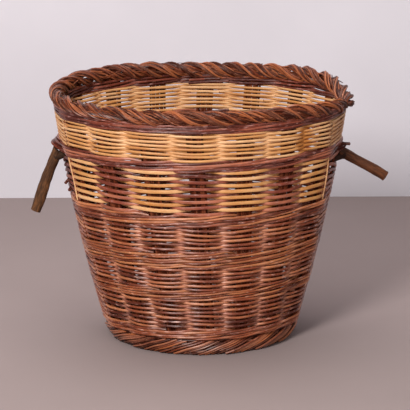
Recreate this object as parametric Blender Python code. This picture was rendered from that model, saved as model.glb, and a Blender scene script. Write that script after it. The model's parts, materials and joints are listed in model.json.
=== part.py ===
"""A harvest basket of woven willow with two loose stick handles, in metres, +Z up.

The origin is on the ground, midway between the tips of the two handles. +X runs along the length
of the oval and the front faces -Y. Sizes of the wall are measured to the middle of its thickness.
"""

import functools
import math

import bmesh
import bpy
import numpy as np
from mathutils import Vector

# The oval wall
FOOT_LENGTH = 0.356
FOOT_DEPTH = 0.342
RIM_LENGTH = 0.572
RIM_DEPTH = 0.426
WALL_BULGE = 0.010
STAKE_LEAN = 0.026

# The height, and the share of it that each band takes, from the ground up
HEIGHT = 0.500
FOOT_BORDER_HEIGHT = 0.070 * HEIGHT
UPSETT_HEIGHT = 0.038 * HEIGHT
LOWER_WEAVE_HEIGHT = 0.128 * HEIGHT
LOWER_WALE_HEIGHT = 0.040 * HEIGHT
MIDDLE_WEAVE_HEIGHT = 0.088 * HEIGHT
MIDDLE_WALE_HEIGHT = 0.066 * HEIGHT
UPPER_WEAVE_HEIGHT = 0.108 * HEIGHT
UPPER_WALE_HEIGHT = 0.046 * HEIGHT
CHECK_HEIGHT = 0.176 * HEIGHT
SHOULDER_WALE_HEIGHT = 0.040 * HEIGHT
LIGHT_BAND_HEIGHT = 0.110 * HEIGHT
TOP_WALE_HEIGHT = 0.030 * HEIGHT
RIM_BORDER_HEIGHT = 0.060 * HEIGHT

# Rows of each woven band, counted over both of its weavers, so each is even
LOWER_WEAVE_ROWS = 4
MIDDLE_WEAVE_ROWS = 4
UPPER_WEAVE_ROWS = 4
CHECK_ROWS = 14
LIGHT_BAND_ROWS = 4

# Stakes and the rods woven round them
STAKE_PAIRS = 8
STAKE_WIDTH = 0.040
STAKE_THICKNESS = 0.006
STAKE_END_DEPTH = 0.012
ROD_THICKNESS = 0.005
WALE_ROD_THICKNESS = 0.0057
PASS_MARGIN = 0.0015
STEEP_STEP = 0.004
CLEARANCE = 0.0003

# Borders and the upsett wale, which holds the base down
RIM_BORDER_THICKNESS = 0.028
FOOT_BORDER_OUTSIDE = 0.0115
FOOT_BORDER_INSIDE = 0.016
FOOT_LEDGE_HEIGHT = 0.022
FOOT_ROUNDING = 0.007
RIM_BORDER_SIDES = 8
UPSETT_INSIDE = 0.014

# Base
BASE_STICKS = 4
BASE_STICK_PITCH = 0.008
BASE_STICK_WIDTH = 0.007
BASE_STICK_THICKNESS = 0.005
SPLIT_STICK_THICKNESS = 0.011
BASE_EYE_RADIUS = 0.030

# Handles: crooked sticks through the wall, rocking between their two stops
NECK_DIAMETER = 0.017
GRIP_DIAMETER = 0.020
CROOK_RADIUS = 0.018
CROOK_ANGLE = 50.5
NECK_OUTSIDE = 0.016
NECK_INSIDE = 0.017
BEND_STEPS = 4
INNER_LEG_LENGTH = 0.034
LEFT_GRIP_LENGTH = 0.108
RIGHT_GRIP_LENGTH = 0.083
HANDLE_SWING = 39.0
ROWS_UNDER_LEFT_HANDLE = 13
ROWS_UNDER_RIGHT_HANDLE = 11

STAKES = 2 * STAKE_PAIRS
RIGHT_STAKE = STAKES // 4
BACK_STAKE = STAKES // 2
LEFT_STAKE = 3 * STAKES // 4
ARC_STEPS = 720
SHARP_ANGLE = math.radians(50)
STAKE_LEVELS = 10
WALL_HALF = STAKE_THICKNESS / 2 + CLEARANCE + ROD_THICKNESS
WALE_HALF = STAKE_THICKNESS / 2 + CLEARANCE + WALE_ROD_THICKNESS
PASS_HALF = STAKE_WIDTH / 2 + PASS_MARGIN

BANDS = (
    ("foot_border", FOOT_BORDER_HEIGHT),
    ("upsett", UPSETT_HEIGHT),
    ("lower_weave", LOWER_WEAVE_HEIGHT),
    ("lower_wale", LOWER_WALE_HEIGHT),
    ("middle_weave", MIDDLE_WEAVE_HEIGHT),
    ("middle_wale", MIDDLE_WALE_HEIGHT),
    ("upper_weave", UPPER_WEAVE_HEIGHT),
    ("upper_wale", UPPER_WALE_HEIGHT),
    ("check", CHECK_HEIGHT),
    ("shoulder_wale", SHOULDER_WALE_HEIGHT),
    ("light_band", LIGHT_BAND_HEIGHT),
    ("top_wale", TOP_WALE_HEIGHT),
    ("rim_border", RIM_BORDER_HEIGHT),
)
STAKE_BOTTOM = STAKE_END_DEPTH
STAKE_TOP = HEIGHT - STAKE_END_DEPTH

SWING_HALF = math.radians(HANDLE_SWING / 2)
PASSAGE_HEIGHT = 2 * (
    NECK_DIAMETER / 2 / math.cos(SWING_HALF)
    + (WALL_HALF + CLEARANCE) * math.tan(SWING_HALF)
    + CLEARANCE
)


def band_span(name):
    """The lowest and highest level of a band."""
    names = [band for band, _ in BANDS]
    bottom = sum(height for _, height in BANDS[: names.index(name)])
    return bottom, bottom + BANDS[names.index(name)][1]


# The oval


def half_sizes(z):
    """Half the length and half the depth of the oval at a level."""
    share = z / HEIGHT
    bulge = 4 * share * (1 - share) * WALL_BULGE
    length = FOOT_LENGTH + (RIM_LENGTH - FOOT_LENGTH) * share
    depth = FOOT_DEPTH + (RIM_DEPTH - FOOT_DEPTH) * share
    return length / 2 + bulge, depth / 2 + bulge


@functools.lru_cache(maxsize=None)
def arc_table(z):
    """Angles round the oval at a level, and the length of the wall up to each of them."""
    a, b = half_sizes(z)
    angles = np.linspace(0.0, 2 * math.pi, ARC_STEPS + 1)
    points = np.stack([a * np.sin(angles), -b * np.cos(angles)], axis=1)
    steps = np.linalg.norm(np.diff(points, axis=0), axis=1)
    return angles, np.concatenate([[0.0], np.cumsum(steps)])


def wall_point(stake, along, offset, z):
    """A point at a stake, moved along the wall and outwards from it. Stake 0 is at the front."""
    a, b = half_sizes(z)
    angles, lengths = arc_table(z)
    lean = STAKE_LEAN * (0.5 - z / HEIGHT)
    distance = (stake / STAKES * lengths[-1] + lean + along) % lengths[-1]
    angle = float(np.interp(distance, lengths, angles))
    out = Vector((b * math.sin(angle), -a * math.cos(angle), 0)).normalized()
    return Vector((a * math.sin(angle), -b * math.cos(angle), z)) + out * offset


def wall_stations():
    """The edges of every stake in turn round the wall, as stake number and distance along."""
    return [(stake, side * PASS_HALF) for stake in range(STAKES) for side in (-1, 1)]


# Meshes


def material(name, color, roughness):
    made = bpy.data.materials.new(name)
    made.use_nodes = True
    shader = made.node_tree.nodes["Principled BSDF"]
    shader.inputs["Base Color"].default_value = (*color, 1.0)
    shader.inputs["Roughness"].default_value = roughness
    shader.inputs["Metallic"].default_value = 0.0
    return made


def new_object(name, data, look):
    made = bpy.data.objects.new(name, data)
    made.data.materials.append(look)
    made.parent = basket_origin
    basket.objects.link(made)
    return made


def loft_mesh(name, lofts, closed):
    """One mesh from lists of equal sections, each joined to the next, with end caps unless closed."""
    mesh = bmesh.new()
    for sections in lofts:
        rings = [[mesh.verts.new(point) for point in section] for section in sections]
        pairs = list(zip(rings, rings[1:]))
        if closed:
            pairs.append((rings[-1], rings[0]))
        for first, second in pairs:
            for i, corner in enumerate(first):
                j = (i + 1) % len(first)
                mesh.faces.new((corner, first[j], second[j], second[i]))
        if not closed:
            mesh.faces.new(rings[0])
            mesh.faces.new(rings[-1])
    bmesh.ops.recalc_face_normals(mesh, faces=mesh.faces)
    data = bpy.data.meshes.new(name)
    mesh.to_mesh(data)
    mesh.free()
    data.shade_smooth()
    data.set_sharp_from_angle(angle=SHARP_ANGLE)
    return data


def add_cutter(name, data):
    made = bpy.data.objects.new(name, data)
    made.parent = basket_origin
    made.hide_render = True
    made.display_type = "WIRE"
    cutters.objects.link(made)
    return made


def cut(target, cutter):
    modifier = target.modifiers.new(cutter.name, "BOOLEAN")
    modifier.operation = "DIFFERENCE"
    modifier.solver = "EXACT"
    modifier.object = cutter


def band_section(stake, along, inside, outside, bottom, top):
    """The four corners of a rod or ring where it crosses one station of the wall."""
    return [
        wall_point(stake, along, inside, bottom),
        wall_point(stake, along, outside, bottom),
        wall_point(stake, along, outside, top),
        wall_point(stake, along, inside, top),
    ]


# Stakes


def stake_sections(stake, spare, bottom, top):
    """Level sections of a stake, swollen by a spare width on all sides."""
    half_width = STAKE_WIDTH / 2 + spare
    half_thickness = STAKE_THICKNESS / 2 + spare
    corners = ((-1, -1), (1, -1), (1, 1), (-1, 1))
    levels = np.linspace(STAKE_BOTTOM, STAKE_TOP, STAKE_LEVELS)
    levels[0], levels[-1] = bottom, top
    return [
        [wall_point(stake, x * half_width, y * half_thickness, z) for x, y in corners]
        for z in levels.tolist()
    ]


def make_stakes():
    for stake in range(STAKES):
        sections = stake_sections(stake, 0.0, STAKE_BOTTOM, STAKE_TOP)
        name = f"stake_{stake + 1:02d}"
        made = new_object(name, loft_mesh(name, [sections], False), stake_look)
        if stake in HANDLE_STAKES:
            cut(made, passage_cutter(stake))


def make_stake_channels():
    lofts = [
        stake_sections(stake, CLEARANCE, STAKE_BOTTOM - CLEARANCE, STAKE_TOP + CLEARANCE)
        for stake in range(STAKES)
    ]
    return add_cutter("stake_channels", loft_mesh("stake_channels", lofts, False))


# Woven bands


def row_span(band, rows, row, stake):
    """Bottom and top of a row at a stake. The rows of the check part round the handles."""
    bottom, top = band_span(band)
    under = HANDLE_STAKES.get(stake) if band == "check" else None
    parted = 0.0 if under is None else PASSAGE_HEIGHT
    height = (top - bottom - parted) / rows
    lift = parted if under is not None and row >= under else 0.0
    low = bottom + row * height + lift
    return low, low + height - CLEARANCE


def weaver(name, band, rows, first_row, look):
    """A rod wound round the wall in two-row steps. It passes outside every other stake."""
    inner = STAKE_THICKNESS / 2 + CLEARANCE
    outer = inner + ROD_THICKNESS
    sections = []
    last = None
    for row in range(first_row, rows, 2):
        for turn in range(STAKES):
            stake = (BACK_STAKE + 1 + turn) % STAKES
            low, high = row_span(band, rows, row, stake)
            if last and abs(low - last[0]) > STEEP_STEP:
                half = ROD_THICKNESS / 2
                levels = ((low + last[0]) / 2, (high + last[1]) / 2)
                sections.append(band_section(stake - 0.5, 0.0, -half, half, *levels))
            in_front = stake % 2 == first_row
            reach = (inner, outer) if in_front else (-outer, -inner)
            for side in (-1, 1):
                sections.append(band_section(stake, side * PASS_HALF, *reach, low, high))
            last = (low, high)
    return new_object(name, loft_mesh(name, [sections], False), look)


def wale(name, band, inside, look):
    """A ring of closely packed rods, pierced by the stakes."""
    bottom, top = band_span(band)
    sections = [
        band_section(stake, along, -inside, WALE_HALF, bottom, top - CLEARANCE)
        for stake, along in wall_stations()
    ]
    made = new_object(name, loft_mesh(name, [sections], True), look)
    cut(made, stake_channels)
    return made


def border(name, profile, look):
    """A ring whose section is given as outward offsets and levels, with pockets for the stakes."""
    sections = [
        [wall_point(stake, along, offset, z) for offset, z in profile]
        for stake, along in wall_stations()
    ]
    made = new_object(name, loft_mesh(name, [sections], True), look)
    cut(made, stake_channels)
    return made


def make_foot_border():
    top = FOOT_BORDER_HEIGHT - CLEARANCE
    return border(
        "foot_border",
        (
            (-FOOT_BORDER_INSIDE, 0.0),
            (FOOT_BORDER_OUTSIDE - FOOT_ROUNDING, 0.0),
            (FOOT_BORDER_OUTSIDE, FOOT_ROUNDING),
            (FOOT_BORDER_OUTSIDE, top - FOOT_ROUNDING),
            (WALE_HALF, top),
            (-WALE_HALF, top),
            (-WALE_HALF, FOOT_LEDGE_HEIGHT),
            (-FOOT_BORDER_INSIDE, FOOT_LEDGE_HEIGHT),
        ),
        border_look,
    )


def make_rim_border():
    bottom, top = band_span("rim_border")
    middle = (bottom + top) / 2
    tall, wide = (top - bottom) / 2, RIM_BORDER_THICKNESS / 2
    half_side = math.pi / RIM_BORDER_SIDES
    reach = 1 / math.cos(half_side)
    profile = []
    for i in range(RIM_BORDER_SIDES):
        turn = (2 * i + 1) * half_side
        profile.append((wide * reach * math.cos(turn), middle + tall * reach * math.sin(turn)))
    return border("rim_border", profile, border_look)


# Base


def base_levels():
    return FOOT_LEDGE_HEIGHT + CLEARANCE, FOOT_BORDER_HEIGHT - CLEARANCE


def spoke_reach(heading):
    """How far a spoke can go from the middle before it meets the wall."""
    a, b = (half - WALE_HALF for half in half_sizes(base_levels()[0]))
    edge = a * b / math.hypot(b * math.cos(heading), a * math.sin(heading))
    return edge * math.cos(PASS_HALF / edge) - 2 * CLEARANCE


def stick_path(lane, across):
    """A base stick: straight through the middle, then out like a spoke at both ends."""
    middle = sum(base_levels()) / 2
    offset = (lane - (BASE_STICKS - 1) / 2) * BASE_STICK_PITCH
    turn = (lane - (BASE_STICKS - 1) / 2) * math.pi / 2 / BASE_STICKS
    half_cross = BASE_STICKS / 2 * BASE_STICK_PITCH
    reach = spoke_reach(turn + across * math.pi / 2)
    spoke = Vector((math.cos(turn), math.sin(turn), 0))
    ends = [Vector((half_cross, offset, 0)), spoke * BASE_EYE_RADIUS, spoke * reach]
    right = [point + Vector((0, 0, middle)) for point in ends]
    left = [Vector((-point.x, point.y, point.z)) for point in reversed(right)]
    if across:
        return [Vector((-point.y, point.x, point.z)) for point in left + right]
    return left + right


def strip_sections(path, width, thicknesses):
    """Flat sections along a level path, mitred where it turns."""
    sections = []
    for i, point in enumerate(path):
        before = (point - path[max(i - 1, 0)]).normalized()
        after = (path[min(i + 1, len(path) - 1)] - point).normalized()
        along = (before + after).normalized()
        across = Vector((-along.y, along.x, 0)) * (width / 2)
        up = Vector((0, 0, thicknesses[i] / 2))
        sections.append(
            [point - across - up, point + across - up, point + across + up, point - across + up]
        )
    return sections


def make_base_sticks():
    plain = [BASE_STICK_THICKNESS] * 6
    split = list(plain)
    split[2] = split[3] = SPLIT_STICK_THICKNESS
    size = BASE_STICKS * BASE_STICK_PITCH + 2 * CLEARANCE
    low, high = base_levels()
    half_slot = BASE_STICK_THICKNESS / 2 + CLEARANCE
    middle = (low + high) / 2
    corners = ((-size, -size), (size, -size), (size, size), (-size, size))
    slot = [
        [Vector((x, y / 2, middle + side * half_slot)) for x, y in corners] for side in (-1, 1)
    ]
    cutter = add_cutter("split_stick_slot", loft_mesh("split_stick_slot", [slot], False))
    for lane in range(BASE_STICKS):
        name = f"base_stick_long_{lane + 1}"
        sections = strip_sections(stick_path(lane, False), BASE_STICK_WIDTH, plain)
        new_object(name, loft_mesh(name, [sections], False), stick_look)
        name = f"base_stick_split_{lane + 1}"
        sections = strip_sections(stick_path(lane, True), BASE_STICK_WIDTH, split)
        cut(new_object(name, loft_mesh(name, [sections], False), stick_look), cutter)


def make_base_weave():
    """A flat ring woven round the sticks. It rests on the foot border's ledge."""
    low, high = base_levels()
    sections = []
    for stake, along in wall_stations():
        edge = [wall_point(stake, along, -WALE_HALF - CLEARANCE, z) for z in (low, high)]
        eye = [Vector((p.x, p.y, 0)).normalized() * BASE_EYE_RADIUS for p in edge]
        sections.append(
            [eye[0] + Vector((0, 0, low)), edge[0], edge[1], eye[0] + Vector((0, 0, high))]
        )
    made = new_object("base_weave", loft_mesh("base_weave", [sections], True), weave_look)
    spare_width = BASE_STICK_WIDTH + 2 * CLEARANCE
    spare_thickness = [BASE_STICK_THICKNESS + 2 * CLEARANCE] * 2
    lofts = []
    for lane in range(BASE_STICKS):
        for path in (stick_path(lane, False), stick_path(lane, True)):
            for inner, outer in ((path[1], path[0]), (path[4], path[5])):
                spoke = Vector((inner.x, inner.y, 0)).normalized() * BASE_STICK_PITCH
                ends = [inner - spoke, outer + spoke * 3]
                lofts.append(strip_sections(ends, spare_width, spare_thickness))
    cut(made, add_cutter("spoke_channels", loft_mesh("spoke_channels", lofts, False)))


# Handles


def handle_pivot(stake):
    """The middle of the wall where a handle passes through it."""
    bottom, top = band_span("check")
    height = (top - bottom - PASSAGE_HEIGHT) / CHECK_ROWS
    level = bottom + HANDLE_STAKES[stake] * height + (PASSAGE_HEIGHT - CLEARANCE) / 2
    return wall_point(stake, 0.0, 0.0, level)


def passage_cutter(stake):
    """A window through a stake, as wide as the neck and as high as its rocking needs."""
    pivot = handle_pivot(stake)
    half_width = NECK_DIAMETER / 2 + CLEARANCE
    half_height = PASSAGE_HEIGHT / 2
    corners = ((-1, -1), (1, -1), (1, 1), (-1, 1))
    sections = [
        [pivot + Vector((side * STAKE_WIDTH, y * half_width, z * half_height)) for y, z in corners]
        for side in (-1, 1)
    ]
    name = f"passage_{stake + 1:02d}"
    return add_cutter(name, loft_mesh(name, [sections], False))


def crook(start, side, leg_length):
    """Points from the neck's end round the bend and down one leg, in the X-Z plane."""
    bend = math.radians(CROOK_ANGLE)
    points = []
    for i in range(BEND_STEPS + 1):
        turn = bend * i / BEND_STEPS
        x = start + CROOK_RADIUS * math.sin(turn)
        points.append(Vector((side * x, 0, CROOK_RADIUS * (math.cos(turn) - 1))))
    leg = Vector((side * math.cos(bend), 0, -math.sin(bend))) * leg_length
    return points + [points[-1] + leg / 3, points[-1] + leg]


def make_handle(name, stake, outward, grip_length, tilt):
    """A stick with its neck in the wall, tilted about the wall's own direction there."""
    outer = crook(NECK_OUTSIDE, outward, grip_length)
    inner = crook(NECK_INSIDE, -outward, INNER_LEG_LENGTH)
    points = list(reversed(inner)) + outer
    thick = GRIP_DIAMETER / NECK_DIAMETER
    sizes = [thick] * 2 + [1.0] * (2 * BEND_STEPS + 1) + [thick] * 3
    curve = bpy.data.curves.new(name, "CURVE")
    curve.dimensions = "3D"
    curve.bevel_depth = NECK_DIAMETER / 2
    curve.bevel_resolution = 3
    curve.use_fill_caps = True
    curve.twist_mode = "Z_UP"
    spline = curve.splines.new("POLY")
    spline.points.add(len(points) - 1)
    for target, point, size in zip(spline.points, points, sizes):
        target.co = (*point, 1)
        target.radius = size
    made = new_object(name, curve, bark_look)
    made.location = handle_pivot(stake)
    made.rotation_euler = (0, tilt, 0)
    return made


def handle_tip(stake, outward, grip_length, tilt):
    """The end of the grip's axis, as a distance along X from the middle of the oval."""
    tip = crook(NECK_OUTSIDE, outward, grip_length)[-1]
    return handle_pivot(stake).x + tip.x * math.cos(tilt) + tip.z * math.sin(tilt)


for leftover in list(bpy.data.objects):
    bpy.data.objects.remove(leftover)

basket = bpy.data.collections.new("harvest_basket")
cutters = bpy.data.collections.new("cutters")
bpy.context.scene.collection.children.link(basket)
bpy.context.scene.collection.children.link(cutters)

stake_look = material("stake_willow", (0.16, 0.07, 0.04), 0.6)
weave_look = material("brown_willow", (0.20, 0.085, 0.045), 0.55)
wale_look = material("dark_willow", (0.10, 0.04, 0.035), 0.55)
orange_look = material("orange_willow", (0.33, 0.13, 0.05), 0.55)
light_look = material("peeled_willow", (0.72, 0.45, 0.20), 0.5)
border_look = material("border_willow", (0.15, 0.06, 0.035), 0.55)
stick_look = material("base_stick", (0.22, 0.12, 0.06), 0.65)
bark_look = material("bark", (0.14, 0.075, 0.04), 0.8)

# Rows of the check that lie under each handle, by the stake that the handle passes through
HANDLE_STAKES = {LEFT_STAKE: ROWS_UNDER_LEFT_HANDLE, RIGHT_STAKE: ROWS_UNDER_RIGHT_HANDLE}

# The left handle hangs on its lower stop and the right one is raised to its upper stop
left_tip = handle_tip(LEFT_STAKE, -1, LEFT_GRIP_LENGTH, -SWING_HALF)
right_tip = handle_tip(RIGHT_STAKE, 1, RIGHT_GRIP_LENGTH, -SWING_HALF)
basket_origin = bpy.data.objects.new("basket_origin", None)
basket_origin.location.x = -(left_tip + right_tip) / 2
basket.objects.link(basket_origin)

stake_channels = make_stake_channels()
make_stakes()
make_foot_border()
make_base_sticks()
make_base_weave()
wale("upsett_wale", "upsett", UPSETT_INSIDE, wale_look)
weaver("lower_weaver_inner", "lower_weave", LOWER_WEAVE_ROWS, 0, weave_look)
weaver("lower_weaver_outer", "lower_weave", LOWER_WEAVE_ROWS, 1, weave_look)
wale("lower_wale", "lower_wale", WALE_HALF, wale_look)
weaver("middle_weaver_inner", "middle_weave", MIDDLE_WEAVE_ROWS, 0, weave_look)
weaver("middle_weaver_outer", "middle_weave", MIDDLE_WEAVE_ROWS, 1, weave_look)
wale("middle_wale", "middle_wale", WALE_HALF, orange_look)
weaver("upper_weaver_inner", "upper_weave", UPPER_WEAVE_ROWS, 0, weave_look)
weaver("upper_weaver_outer", "upper_weave", UPPER_WEAVE_ROWS, 1, weave_look)
wale("upper_wale", "upper_wale", WALE_HALF, wale_look)
weaver("check_dark_weaver", "check", CHECK_ROWS, 0, wale_look)
weaver("check_light_weaver", "check", CHECK_ROWS, 1, light_look)
wale("shoulder_wale", "shoulder_wale", WALE_HALF, wale_look)
weaver("light_weaver_inner", "light_band", LIGHT_BAND_ROWS, 0, light_look)
weaver("light_weaver_outer", "light_band", LIGHT_BAND_ROWS, 1, light_look)
wale("top_wale", "top_wale", WALE_HALF, wale_look)
make_rim_border()
make_handle("left_handle", LEFT_STAKE, -1, LEFT_GRIP_LENGTH, -SWING_HALF)
make_handle("right_handle", RIGHT_STAKE, 1, RIGHT_GRIP_LENGTH, -SWING_HALF)
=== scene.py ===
# %% [markdown]
# # A harvest basket of woven willow
#
# Sixteen flat stakes stand in an oval, and some three hundred willow rods go round them in brown,
# dark and peeled bands. The CAD model holds each band as a few broad strips. Here every strip
# gives way to the single rods that it stands for. All lengths are in metres.

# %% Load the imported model
import json
import math

import bmesh
import bpy
import numpy as np
from mathutils import Matrix, Vector


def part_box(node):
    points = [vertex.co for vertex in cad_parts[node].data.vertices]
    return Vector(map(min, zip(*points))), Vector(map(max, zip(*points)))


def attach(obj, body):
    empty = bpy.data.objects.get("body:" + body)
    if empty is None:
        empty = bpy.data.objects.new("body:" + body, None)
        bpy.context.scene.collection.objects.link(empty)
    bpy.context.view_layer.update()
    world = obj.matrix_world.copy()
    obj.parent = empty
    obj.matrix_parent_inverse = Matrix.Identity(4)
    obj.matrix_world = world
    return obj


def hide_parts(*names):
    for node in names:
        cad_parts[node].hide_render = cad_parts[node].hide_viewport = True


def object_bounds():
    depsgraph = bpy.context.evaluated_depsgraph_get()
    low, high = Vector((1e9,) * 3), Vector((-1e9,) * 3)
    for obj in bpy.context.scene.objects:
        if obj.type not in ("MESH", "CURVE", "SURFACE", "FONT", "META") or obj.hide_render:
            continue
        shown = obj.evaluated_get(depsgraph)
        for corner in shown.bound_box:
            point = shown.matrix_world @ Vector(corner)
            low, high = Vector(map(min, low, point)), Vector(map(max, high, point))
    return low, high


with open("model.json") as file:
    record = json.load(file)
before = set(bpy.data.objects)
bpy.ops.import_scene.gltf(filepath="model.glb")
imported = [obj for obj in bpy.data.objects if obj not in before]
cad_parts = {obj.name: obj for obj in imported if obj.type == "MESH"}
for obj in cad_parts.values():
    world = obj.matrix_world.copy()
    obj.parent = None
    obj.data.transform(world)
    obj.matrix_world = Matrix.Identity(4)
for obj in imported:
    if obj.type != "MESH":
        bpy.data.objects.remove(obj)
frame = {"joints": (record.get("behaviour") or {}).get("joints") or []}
cad_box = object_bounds()


def add_object(name, data):
    """An object of its own in the scene."""
    made = bpy.data.objects.new(name, data)
    bpy.context.scene.collection.objects.link(made)
    return made


def rounded(box):
    """A box's two corners, short enough to print."""
    return [[round(side, 4) for side in corner] for corner in box]


print("CAD box:", rounded(cad_box))

# %% [markdown]
# ## The camera
#
# The photograph was taken from far away with a long lens, a little above the rim. The camera
# comes first, because everything later is judged through it.

# %% Camera
PHOTO_SIZE = 410
FOCAL_PIXELS = 3224
SENSOR_WIDTH = 36.0
CAMERA_DISTANCE = 6.374
CAMERA_ELEVATION = math.radians(15.48)
CAMERA_ROLL = math.radians(-0.24)
TARGET_PIXEL = (200.71, 208.06)
CLIP_END = 50

foot_low, foot_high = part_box("foot_border")
CENTRE_X = (foot_low.x + foot_high.x) / 2
HEIGHT = cad_box[1].z

camera_data = bpy.data.cameras.new("camera")
camera_data.sensor_width = SENSOR_WIDTH
camera_data.lens = FOCAL_PIXELS * SENSOR_WIDTH / PHOTO_SIZE
camera_data.shift_x = (PHOTO_SIZE / 2 - TARGET_PIXEL[0]) / PHOTO_SIZE
camera_data.shift_y = (TARGET_PIXEL[1] - PHOTO_SIZE / 2) / PHOTO_SIZE
camera_data.clip_end = CLIP_END
camera = add_object("camera", camera_data)
camera_place = Vector((
    CENTRE_X,
    -CAMERA_DISTANCE * math.cos(CAMERA_ELEVATION),
    HEIGHT / 2 + CAMERA_DISTANCE * math.sin(CAMERA_ELEVATION),
))
camera.matrix_world = (
    Matrix.Translation(camera_place)
    @ Matrix.Rotation(math.pi / 2 - CAMERA_ELEVATION, 4, "X")
    @ Matrix.Rotation(CAMERA_ROLL, 4, "Z")
)
bpy.context.scene.camera = camera
print("Lens:", round(camera_data.lens, 1), "mm")

# %% [markdown]
# ## The oval wall
#
# All the rods follow one wall: an oval that grows from the foot to the rim and bulges a little. A
# place on it is given by its stake (0 at the front, fractions between two stakes), its level, and
# how far out it lies. The stakes lean a little and don't stand quite evenly, so each has a small
# shift of its own.

# %% The wall's sizes
FULL_TURN = 2 * math.pi
STAKES = 16
FOOT_HALF_LENGTH, FOOT_HALF_DEPTH = 0.178, 0.171
RIM_HALF_LENGTH, RIM_HALF_DEPTH = 0.286, 0.213
WALL_BULGE = 0.01
STAKE_LEAN = 0.026
SHIFT_AT_RIM = {13: 0.01, 14: 0.003, 15: 0.004, 0: -0.002, 1: -0.001, 2: -0.007, 3: -0.01}
SHIFT_AT_FOOT = {13: 0.01, 14: 0.015, 15: 0.006, 0: 0.004, 1: -0.004, 2: -0.009, 3: -0.008}


def half_sizes(level):
    """Half the oval's length and depth at a level."""
    share = level / HEIGHT
    bulge = 4 * share * (1 - share) * WALL_BULGE
    length = FOOT_HALF_LENGTH + (RIM_HALF_LENGTH - FOOT_HALF_LENGTH) * share + bulge
    depth = FOOT_HALF_DEPTH + (RIM_HALF_DEPTH - FOOT_HALF_DEPTH) * share + bulge
    return length, depth


def stake_shift(stakes, level):
    """How far the stakes stand from their even places, along the wall."""
    share = level / HEIGHT
    numbers = np.arange(-1, STAKES + 2)
    uneven = 0.0
    for weight, shifts in ((share, SHIFT_AT_RIM), (1 - share, SHIFT_AT_FOOT)):
        own = [shifts.get(number % STAKES, 0.0) for number in numbers]
        uneven = uneven + weight * np.interp(stakes, numbers, own)
    return STAKE_LEAN * (0.5 - share) + uneven


print("Stakes:", STAKES, "half sizes at the rim:", half_sizes(HEIGHT))

# %% [markdown]
# Equal steps of angle would crowd the stakes at the oval's ends, so a table keeps the angles that
# cut the wall into equal lengths.

# %% Even spacing round the oval
COLUMNS_PER_STAKE = 24
ANGLE_STEPS = 2881
TABLE_LEVELS = np.linspace(-0.02, 0.54, 29)
TABLE_STAKES = np.linspace(-1, STAKES + 1, COLUMNS_PER_STAKE * (STAKES + 2) + 1)


def angle_row(level):
    """The oval's angle at each stake of the table."""
    length, depth = half_sizes(level)
    angles = np.linspace(-math.pi, 3 * math.pi, ANGLE_STEPS)
    steps = np.hypot(np.diff(length * np.sin(angles)), np.diff(depth * np.cos(angles)))
    walked = np.concatenate([[0.0], np.cumsum(steps)])
    round_once = walked[-1] / 2
    front = np.interp(0.0, angles, walked)
    wanted = front + TABLE_STAKES / STAKES * round_once + stake_shift(TABLE_STAKES, level)
    return np.interp(wanted, walked, angles)


ANGLE_TABLE = np.array([angle_row(level) for level in TABLE_LEVELS])


def wall_angles(stakes, levels):
    """Reads the table between its rows and columns."""
    turns, places = np.divmod(stakes, STAKES)
    column = (places - TABLE_STAKES[0]) / (TABLE_STAKES[1] - TABLE_STAKES[0])
    row = (levels - TABLE_LEVELS[0]) / (TABLE_LEVELS[1] - TABLE_LEVELS[0])
    row = np.clip(row, 0, len(TABLE_LEVELS) - 1.001)
    left, below = column.astype(int), row.astype(int)
    across, up = column - left, row - below
    lower, upper = (
        ANGLE_TABLE[row, left] * (1 - across) + ANGLE_TABLE[row, left + 1] * across
        for row in (below, below + 1)
    )
    return lower * (1 - up) + upper * up + turns * FULL_TURN


print("Table of angles:", ANGLE_TABLE.shape)

# %% [markdown]
# Three small curves serve everywhere: a smooth step, a smooth bump, and the distance between two
# places round the oval.

# %% Places on the wall
CORNERS = (3.12, 4.88, 11.12, 12.88)
CORNER_PUSH = 0.0075
CORNER_WIDTH = 0.38
CORNERS_GROW, CORNERS_FADE = 0.06, 0.03


def ease(share):
    """Goes smoothly from 0 to 1."""
    share = np.clip(share, 0, 1)
    return share * share * (3 - 2 * share)


def bell(away, width, power=2):
    """1 in the middle, and almost nothing from twice the width on."""
    return np.exp(-((away / width) ** power))


def stakes_from(stakes, place):
    """How many stakes away from a place, the shorter way round."""
    return (stakes - place + STAKES / 2) % STAKES - STAKES / 2


def on_wall(stakes, outwards, levels):
    """Points at stakes and levels, moved outwards, and the outward direction at each."""
    stakes, outwards, levels = np.broadcast_arrays(stakes, outwards, levels)
    angles = wall_angles(stakes, levels)
    length, depth = half_sizes(levels)
    out = np.stack([depth * np.sin(angles), -length * np.cos(angles), 0 * angles], axis=-1)
    out /= np.linalg.norm(out, axis=-1, keepdims=True)
    middle = np.stack(
        [CENTRE_X + length * np.sin(angles), -depth * np.cos(angles), levels], axis=-1
    )
    return middle + out * outwards[..., None], out


def corner_push(stakes, levels):
    """Rods bend sharply where a long side meets an end wall."""
    push = np.zeros_like(stakes)
    for corner in CORNERS:
        away = np.abs(stakes_from(stakes, corner))
        push = np.maximum(push, CORNER_PUSH * np.clip(1 - away / CORNER_WIDTH, 0, 1))
    push *= np.clip(levels / CORNERS_GROW, 0, 1)
    return push * np.clip((HEIGHT - CORNERS_FADE - levels) / CORNERS_FADE, 0, 1)


print("Right end of the rim:", on_wall([STAKES / 4], 0.0, HEIGHT)[0].round(3))

# %% [markdown]
# ## One willow rod
#
# A rod is a thin tapered tube: a flat grid, rolled up round the rod's path, which is quicker than
# extruding ring after ring. Each point keeps three things for the materials: its place on the rod
# as if it lay straight, so that grain and spots run along it, the rod's own tone, which in places
# also carries painted shade and painted light, and how far its bark is rubbed off or painted with
# a highlight.

# %% Lay a rod
ROD_SIDES = 6
LAYERS = {"straight": "float_vector", "tone": "float", "bared_and_highlight": "float"}
UP = np.array([0.0, 0.0, 1.0])
chance = np.random.default_rng(7)
between = chance.uniform


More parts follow.
